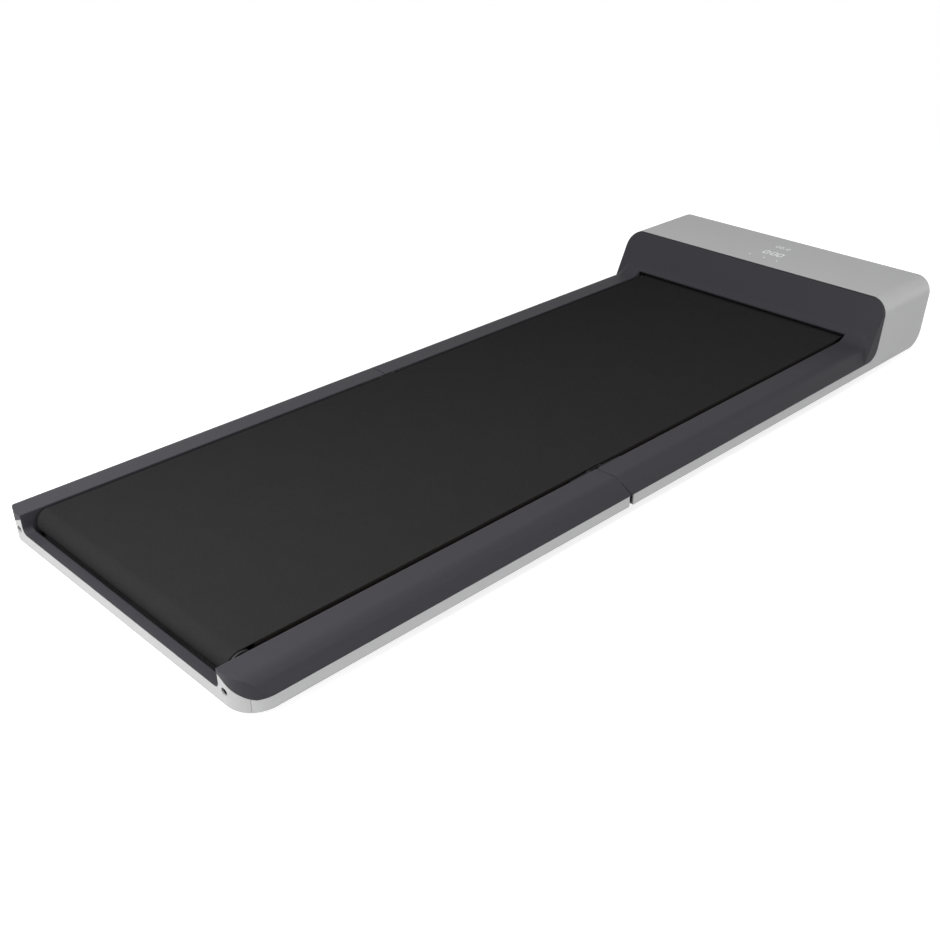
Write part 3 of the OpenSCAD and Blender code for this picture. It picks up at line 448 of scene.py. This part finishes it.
end_tree(tree, band, (belt_face, True), (belt_weave, underside))

for half, towards, far_x, first, second, ends in (
    ("front", 1.0, high.x, "front_half", "left_link", (fold_x + link_reach, fold_x)),
    ("rear", -1.0, rear_low.x, "left_link", "rear_half", (fold_x, fold_x - link_reach)),
):
    run = abs(far_x - fold_x) - belt_radius - belt_thick / 2
    stations = int((2 * run + math.pi * belt_radius) / belt_station)
    piece = grow(
        "walking_belt_" + half + "_run",
        tree,
        {"Run": run, "Towards": towards, "Stations": stations},
    )
    for face in piece.data.polygons:
        face.use_smooth = True
    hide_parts("walking_belt_" + half)
    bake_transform(piece)

# ---- Foot rails --------------------------------------------------------------
# Two dark moulded covers, one on each half, with a fine sparked texture. They
# clip over the side tubes, and the front one runs up the face of the head.


def moulded(name, colour, scuffed, rough, edge=0.0008):
    """Plastic from a spark eroded mould, a little paler where it is rubbed."""
    finish, shader, start = new_finish(name, Specular_IOR_Level=0.12)
    at = place(start)
    spark = grain(start, at, 0.0006, 4.0)
    flow = grain(start, at, 0.09, 2.0)
    rub = grain(start, at, 0.004, 4.0).clamp(0.4, 0.8)
    rim = worn_edge(start, 0.0016)
    (0.08 * flow + 0.12 * rub + 0.3 * rim).mix(colour, scuffed).to(shader, "Base Color")
    (rough + 0.1 * spark + 0.08 * flow - 0.08 * rim).to(shader, "Roughness")
    relief(shader, spark, 0.00009, edge)
    return finish


dark_cover = moulded(
    "dark moulded cover",
    (0.0255, 0.0245, 0.0292, 1),
    (0.039, 0.038, 0.043, 1),
    0.48,
    edge=0.003,
)
paint(["front_cover", "rear_cover"], dark_cover)

# ---- Silver shell ------------------------------------------------------------
# The head, the side strips and the rear end cap are moulded and sprayed silver,
# with a fine satin flake. Screws from below hold them on.


def silver_paint(name, colour):
    """Sprayed silver: fine flakes a little darker and lighter than its colour."""
    finish, shader, start = new_finish(name, Specular_IOR_Level=0.12)
    at = place(start)
    flake = start.node(
        "ShaderNodeTexVoronoi", {}, {"Vector": at, "Scale": 1 / 0.0005}, out="Color"
    )
    flake = start.node("ShaderNodeSeparateColor", inputs={"Color": flake})
    mottle = grain(start, at, 0.05, 3.0)
    darker = tuple(0.9 * part for part in colour[:3]) + (1,)
    lighter = tuple(min(1.0, 1.08 * part) for part in colour[:3]) + (1,)
    (0.6 * flake + 0.4 * mottle).mix(darker, lighter).to(shader, "Base Color")
    (0.36 + 0.06 * mottle + 0.05 * flake).to(shader, "Roughness")
    peel = grain(start, at, 0.003, 2.0)
    relief(shader, peel, 0.00004, 0.0009)
    return finish


silver_shell = silver_paint("silver paint", (0.408, 0.408, 0.412, 1))
paint(["front_shell", "rear_strip_left", "rear_strip_right"], silver_shell)
# The end cap takes a darker copy of the shell's silver paint: painted shade that offsets how
# brightly its rear face is lit.
silver_cap_painted_shade = silver_paint("silver paint darkened as painted shade", (0.37, 0.37, 0.37, 1))
paint(["rear_end_cap"], silver_cap_painted_shade)

# ---- Floor plates and feet ---------------------------------------------------
# Pressed steel plates, powder coated, close each half from below. The moulded
# rubber feet push on studs through them.

plate_coat = powder_coat("black plate coat", (0.013, 0.013, 0.014, 1), (0.05, 0.05, 0.052, 1))
paint(["front_base_plate", "rear_base_plate"], plate_coat)
paint(["front_feet", "rear_feet"], black_rubber)

# ---- Fold hinge --------------------------------------------------------------
# On each side two oxide black steel brackets and a link on two pins of the same
# finish, deep in the gap beside the belt.

paint(
    [
        "hinge_bracket_front_left",
        "hinge_bracket_front_right",
        "hinge_bracket_rear_left",
        "hinge_bracket_rear_right",
        "fold_link_left",
        "fold_link_right",
        "hinge_pins_front",
        "hinge_pins_rear",
    ],
    oxide,
)

# ---- Drive -------------------------------------------------------------------
# A painted motor can in a zinc plated mount turns the front roller by a ribbed
# rubber belt on two turned pulleys. A moulded fan on the shaft cools it.

motor_can = powder_coat("black motor paint", (0.018, 0.018, 0.02, 1), (0.1, 0.1, 0.1, 1))
paint(["motor_body"], motor_can)
zinc_plate = bright_metal(
    "zinc plated sheet", (0.42, 0.42, 0.43, 1), (0.30, 0.30, 0.29, 1), 0.34, mark=0.006
)
paint(["motor_mount", "wheel_brackets"], zinc_plate)
turned_alloy = bright_metal(
    "turned pulley", (0.22, 0.22, 0.23, 1), (0.16, 0.16, 0.16, 1), 0.3, along_axle, 0.0004
)
paint(["motor_pulley", "roller_pulley"], turned_alloy)
paint(
    ["motor_fan"], moulded("black fan", (0.012, 0.012, 0.012, 1), (0.03, 0.03, 0.03, 1), 0.42)
)

rib_pitch = 0.002
finish, shader, start = new_finish("ribbed drive belt", Specular_IOR_Level=0.3)
at = place(start)
rib = start.node(
    "ShaderNodeTexWave",
    {"bands_direction": "Y"},
    {"Vector": at, "Scale": math.pi / rib_pitch / 10},
)
dust = grain(start, at, 0.006, 3.0)
(0.5 * dust + 0.3 * rib).mix((0.008, 0.008, 0.008, 1), (0.03, 0.029, 0.028, 1)).to(
    shader, "Base Color"
)
(0.6 + 0.2 * dust).to(shader, "Roughness")
relief(shader, rib, 0.0004, 0.0003)
paint(["drive_belt"], finish)

# ---- Boards ------------------------------------------------------------------
# The motor controller stands on four posts and carries an extruded heat sink. The
# display board is pressed up under the top of the head.

board_thick = 0.0016
lacquer_rise = 0.00001
track_rows = 60.0  # rows in one metre of board
pad_rows = 260.0
part_rows = 40.0


def circuit(name, board_low, board_high, part):
    """Green solder mask between two heights, and the shade of its parts elsewhere."""
    finish, shader, start = new_finish(name, Specular_IOR_Level=0.5)
    at = place(start)
    height = start.node("ShaderNodeSeparateXYZ", inputs={0: at}, out="Z")
    mask = start.maths("GREATER_THAN", height, board_low) * start.maths(
        "LESS_THAN", height, board_high
    )
    tracks = start.node(
        "ShaderNodeTexBrick",
        {"offset": 0.5, "squash": 1.0},
        {"Vector": at, "Scale": track_rows, "Mortar Size": 0.03, "Color1": (0, 0, 0, 1)},
        out="Fac",
    )
    pads = start.node("ShaderNodeTexVoronoi", {}, {"Vector": at, "Scale": pad_rows})
    pads = pads.clamp(0.18, 0.1)
    lacquer = tracks.mix((0.010, 0.085, 0.035, 1), (0.016, 0.14, 0.055, 1))
    lacquer = pads.mix(lacquer, (0.55, 0.56, 0.56, 1))
    cell = start.node(
        "ShaderNodeTexVoronoi", {}, {"Vector": at, "Scale": part_rows}, out="Color"
    )
    shade = start.node("ShaderNodeSeparateColor", inputs={"Color": cell})
    bodies = shade.mix(part, tuple(2.2 * c for c in part[:3]) + (1,))
    mask.mix(bodies, lacquer).to(shader, "Base Color")
    (0.45 - 0.15 * mask).to(shader, "Roughness")
    relief(shader, tracks * mask, 0.00003, 0.0002)
    return finish


motor_board_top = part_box("heat_sink")[0].z
motor_board = circuit(
    "motor board",
    motor_board_top - board_thick,
    motor_board_top + lacquer_rise,
    (0.012, 0.012, 0.014, 1),
)
paint(["control_board"], motor_board)
lamp_tall = 0.002  # the lamps on this board reach its highest point
display_board_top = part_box("display_board")[1].z - lamp_tall
display_board = circuit(
    "display board",
    display_board_top - board_thick,
    display_board_top,
    (0.011, 0.011, 0.012, 1),
)
paint(["display_board"], display_board)
extruded = bright_metal(
    "extruded heat sink", (0.60, 0.60, 0.62, 1), (0.5, 0.5, 0.5, 1), 0.3, (1, 0.02, 1), 0.0004
)
paint(["heat_sink"], extruded)

# ---- Inlet, switch and reset -------------------------------------------------
# Black moulded fittings clipped into the front of the head: a mains inlet with
# nickel plated blades, a glossy rocker marked in white, and a red reset button.

panel_lean = math.radians(8.4)
fitting = moulded("black fitting", (0.011, 0.011, 0.011, 1), (0.028, 0.028, 0.028, 1), 0.4)
paint(["switch_frame", "reset_body"], fitting)


def on_panel(start, name):
    """Places measured from a fitting's middle: forward, left and up along the panel."""
    low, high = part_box(name)
    middle = (low + high) / 2
    turned = Matrix.Rotation(-panel_lean, 3, "Y") @ middle
    at = start.node(
        "ShaderNodeMapping",
        inputs={
            "Vector": place(start),
            "Location": -turned,
            "Rotation": (0, -panel_lean, 0),
        },
    )
    split = start.node("ShaderNodeSeparateXYZ", inputs={0: at}, out="X")
    return [Wire(start.tree, out) for out in split.socket.node.outputs]


blades_side = 0.0082  # how far the blades reach to each side of the inlet's middle
blades_up = 0.0048
blades_root = -0.0055
finish, shader, start = new_finish("inlet with nickel blades", Specular_IOR_Level=0.5)
ahead, left, up = on_panel(start, "power_inlet")
inside = start.maths("ABSOLUTE", left).clamp(blades_side + 0.0002, blades_side)
inside = inside * start.maths("ABSOLUTE", up).clamp(blades_up + 0.0002, blades_up)
nickel = inside * ahead.clamp(blades_root, blades_root + 0.0003)
spark = grain(start, place(start), 0.0006, 3.0)
housing = spark.mix((0.010, 0.010, 0.010, 1), (0.022, 0.022, 0.022, 1))
nickel.mix(housing, (0.6, 0.58, 0.55, 1)).to(shader, "Base Color")
nickel.to(shader, "Metallic")
(0.42 - 0.15 * nickel + 0.1 * spark).to(shader, "Roughness")
relief(shader, spark, 0.00008, 0.0004)
paint(["power_inlet"], finish)

mark_out = 0.0045  # the bar and the ring lie this far from the rocker's middle
mark_half = 0.0020
mark_line = 0.00035
mark_blur = 0.0001
finish, shader, start = new_finish("glossy rocker", Coat_Weight=0.4, Coat_Roughness=0.08)
ahead, left, up = on_panel(start, "power_switch")
bar = start.maths("ABSOLUTE", left - mark_out).clamp(mark_line + mark_blur, mark_line)
bar = bar * start.maths("ABSOLUTE", up).clamp(mark_half + mark_blur, mark_half)
off = left + mark_out
radius = start.maths("SQRT", off * off + up * up)
ring = start.maths("ABSOLUTE", radius - mark_half).clamp(mark_line + mark_blur, mark_line)
mark = start.maths("MAXIMUM", bar, ring) * ahead.clamp(0.0, 0.0004)
smear = grain(start, place(start), 0.004, 3.0)
polish = smear.mix((0.008, 0.008, 0.008, 1), (0.013, 0.013, 0.013, 1))
mark.mix(polish, (0.75, 0.75, 0.73, 1)).to(shader, "Base Color")
(0.12 + 0.1 * smear + 0.3 * mark).to(shader, "Roughness")
relief(shader, smear, 0.00002, 0.0004)
paint(["power_switch"], finish)

finish, shader, start = new_finish("glossy red button", Coat_Weight=0.4, Coat_Roughness=0.1)
smear = grain(start, place(start), 0.003, 3.0)
smear.mix((0.42, 0.012, 0.010, 1), (0.52, 0.022, 0.018, 1)).to(shader, "Base Color")
(0.16 + 0.12 * smear).to(shader, "Roughness")
relief(shader, smear, 0.00003, 0.0004)
paint(["reset_button"], finish)

# ---- Transport wheels --------------------------------------------------------
# Two moulded wheels with a soft grey tread, each on a steel pin between two zinc
# plated brackets under the toe of the head.

wheel_low, wheel_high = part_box("transport_wheel_left")
wheel_middle = (wheel_low + wheel_high) / 2
wheel_radius = (wheel_high.z - wheel_low.z) / 2
hub_radius = wheel_radius - 0.0045
finish, shader, start = new_finish("wheel and tread", Specular_IOR_Level=0.4)
at = start.node(
    "ShaderNodeMapping",
    inputs={
        "Vector": place(start),
        "Location": (-wheel_middle.x, 0, -wheel_middle.z),
        "Scale": (1, 0, 1),
    },
)
radius = start.node("ShaderNodeVectorMath", {"operation": "LENGTH"}, {0: at}, out="Value")
tread = radius.clamp(hub_radius, hub_radius + 0.0002)
dust = grain(start, place(start), 0.004, 4.0)
hub = dust.mix((0.011, 0.011, 0.011, 1), (0.022, 0.022, 0.022, 1))
tread.mix(hub, dust.mix((0.05, 0.05, 0.052, 1), (0.085, 0.083, 0.08, 1))).to(shader, "Base Color")
(0.42 + 0.25 * tread + 0.1 * dust).to(shader, "Roughness")
relief(shader, dust, 0.0001, 0.0005)
paint(["transport_wheel_left", "transport_wheel_right"], finish)

# ---- Display -----------------------------------------------------------------
# Seven-segment zeros and dots that shine through the top of the head: a large row,
# a small row ahead of it, and behind both a row of dots that mark what is shown.

head_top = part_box("front_shell")[1].z
glow_up = 0.00004
shape = bmesh.new()


def slab(corners):
    """A thin closed plate with these corners, just proud of the head."""
    top = [shape.verts.new((x, y, head_top + glow_up)) for x, y in corners]
    foot = [shape.verts.new((x, y, head_top - glow_up)) for x, y in corners]
    shape.faces.new(top)
    shape.faces.new(list(reversed(foot)))
    for i in range(len(corners)):
        j = (i + 1) % len(corners)
        shape.faces.new((top[j], top[i], foot[i], foot[j]))


def segment_bar(x0, y0, x1, y1, half):
    """A bar from one point to another with pointed ends."""
    along = Vector((x1 - x0, y1 - y0))
    along.normalize()
    side = Vector((-along.y, along.x)) * half
    first = Vector((x0, y0)) + along * half * 0.25
    last = Vector((x1, y1)) - along * half * 0.25
    inset = along * half
    corners = [first, first + inset - side, last - inset - side, last]
    corners += [last - inset + side, first + inset + side]
    slab([(p.x, p.y) for p in corners])


def zero(foot_x, left_y, tall, wide, line):
    """A 0 of six bars, read from the deck: up is towards +X and right towards -Y."""
    head_x = foot_x + tall
    mid_x = foot_x + tall / 2
    right_y = left_y - wide
    for ends in (
        (head_x, left_y, head_x, right_y),
        (mid_x, right_y, head_x, right_y),
        (foot_x, right_y, mid_x, right_y),
        (foot_x, left_y, foot_x, right_y),
        (foot_x, left_y, mid_x, left_y),
        (mid_x, left_y, head_x, left_y),
    ):
        segment_bar(*ends, line / 2)


def dot(x, y, radius):
    """A round plate of 16 sides."""
    turns = [2 * math.pi * i / 16 for i in range(16)]
    slab([(x + radius * math.cos(a), y + radius * math.sin(a)) for a in turns])


large_foot = 0.6235
large_tall = 0.015
for left_y in (0.0145, -0.0020, -0.0150):
    zero(large_foot, left_y, large_tall, wide=0.0085, line=0.0021)
for up_by in (0.3, 0.7):
    dot(large_foot + up_by * large_tall, y=0.0017, radius=0.0011)
small_foot = 0.6645
for left_y in (0.0135, 0.0045, -0.0085):
    zero(small_foot, left_y, tall=0.0085, wide=0.0050, line=0.0013)
dot(small_foot, y=-0.0040, radius=0.0008)
mark_row = 0.602
for middle_y in (0.027, -0.0035, -0.031):
    dot(mark_row, middle_y, radius=0.0016)
bmesh.ops.recalc_face_normals(shape, faces=shape.faces[:])
mesh = bpy.data.meshes.new("display_figures")
shape.to_mesh(mesh)
shape.free()
finish, shader, start = new_finish("white display light", Roughness=0.4)
lamp = grain(start, place(start), 0.002, 2.0)
lamp.mix((0.74, 0.75, 0.77, 1), (0.80, 0.81, 0.82, 1)).to(shader, "Base Color")
relief(shader, lamp, 0.00001, 0.0001)
shader.inputs["Emission Color"].default_value = (0.9, 0.95, 1.0, 1)
shader.inputs["Emission Strength"].default_value = 0.12
mesh.materials.append(finish)
piece = bpy.data.objects.new("display_figures", mesh)
bpy.context.scene.collection.objects.link(piece)
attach(piece, "front_half")

# ---- Floor and light ---------------------------------------------------------
# A plain pale floor in a white room, and soft boxes behind the rear end, above it,
# on both sides and low in front.

mesh = bpy.data.meshes.new("floor")
span = 12.0
mesh.from_pydata(
    [(-span, -span, 0), (span, -span, 0), (span, span, 0), (-span, span, 0)], [], [(0, 1, 2, 3)]
)
floor = bpy.data.objects.new("floor", mesh)
bpy.context.scene.collection.objects.link(floor)


def white_where_seen(start):
    """1 for what the camera, a gloss or a glass sees, 0 for the light on the object."""
    rays = start.node("ShaderNodeLightPath")
    mirrored = start.maths(
        "MAXIMUM", rays.output("Is Glossy Ray"), rays.output("Is Transmission Ray")
    )
    return start.maths("MAXIMUM", rays.output("Is Camera Ray"), mirrored)


pale, shader, start = new_finish("pale floor", Roughness=0.9, Specular_IOR_Level=0.0)
away = start.node(
    "ShaderNodeVectorMath", {"operation": "LENGTH"}, {0: place(start)}, out="Value"
)
away.clamp(0.9, 2.1).mix((0.5, 0.5, 0.5, 1), (0.0, 0.0, 0.0, 1)).to(shader, "Base Color")
glow = away.clamp(0.5, 1.2).mix((0.7, 0.7, 0.7, 1), (1, 1, 1, 1))
shine = start.node(
    "ShaderNodeEmission", inputs={"Color": glow, "Strength": white_where_seen(start)}
)
lit = Wire(start.tree, shader.outputs["BSDF"])
both = start.node("ShaderNodeAddShader", inputs={0: lit, 1: shine})
both.to(start.tree.nodes["Material Output"], "Surface")
mesh.materials.append(pale)

room = bpy.data.worlds.new("white room")
room.use_nodes = True
bpy.context.scene.world = room
room_light = 0.06
sky = room.node_tree.nodes["Background"]
sky.inputs["Color"].default_value = (1, 1, 1, 1)
seen = white_where_seen(Wire(room.node_tree))
(room_light + (1 - room_light) * seen).to(sky, "Strength")


def soft_box(name, at, towards, wide, tall, power):
    """A flat lamp of that many watts at one point, turned towards another."""
    lamp = bpy.data.lights.new(name, "AREA")
    lamp.shape = "RECTANGLE"
    lamp.size = wide
    lamp.size_y = tall
    lamp.energy = power
    holder = bpy.data.objects.new(name, lamp)
    bpy.context.scene.collection.objects.link(holder)
    holder.location = at
    holder.rotation_euler = (Vector(towards) - Vector(at)).to_track_quat("-Z", "Y").to_euler()


soft_box("rear box", (-2.4, -0.5, 1.3), (-0.4, 0, 0), 1.4, 1.0, 12)
soft_box("near rear box", (-1.5, 0.1, 1.0), (-0.8, 0, 0), 1.0, 0.6, 25)
soft_box("right box", (-0.2, -3.0, 1.5), (0, 0, 0.05), 2.4, 1.2, 42)
soft_box("far right box", (0.4, -4.0, 1.4), (0.1, 0, 0.05), 4.0, 1.6, 48)
soft_box("left box", (0.0, 3.0, 1.2), (0, 0, 0.05), 2.4, 1.2, 14)
soft_box("front box", (2.4, -0.6, 0.3), (0.7, 0, 0.05), 1.6, 0.4, 7)
soft_box("rear top box", (-0.7, -0.2, 2.0), (-0.6, 0, 0), 1.2, 1.0, 24)

# ---- Camera ------------------------------------------------------------------
# It stands behind the right rear corner, at head height of someone kneeling.

lens = bpy.data.cameras.new("camera")
lens.sensor_width = 36.0
lens.lens = 46.32
lens.shift_x = -0.0347
lens.shift_y = 0.0318
camera = bpy.data.objects.new("camera", lens)
bpy.context.scene.collection.objects.link(camera)
camera.location = (-1.2179, -1.1539, 0.8556)
heading = math.radians(44.97)
down = math.radians(30.38)
roll = math.radians(-0.195)
look = Vector(
    (math.cos(down) * math.cos(heading), math.cos(down) * math.sin(heading), -math.sin(down))
)
camera.rotation_mode = "QUATERNION"
rolled = Matrix.Rotation(roll, 3, "Z").to_quaternion()
camera.rotation_quaternion = look.to_track_quat("-Z", "Y") @ rolled
bpy.context.scene.camera = camera
bpy.context.scene.view_settings.view_transform = "Standard"
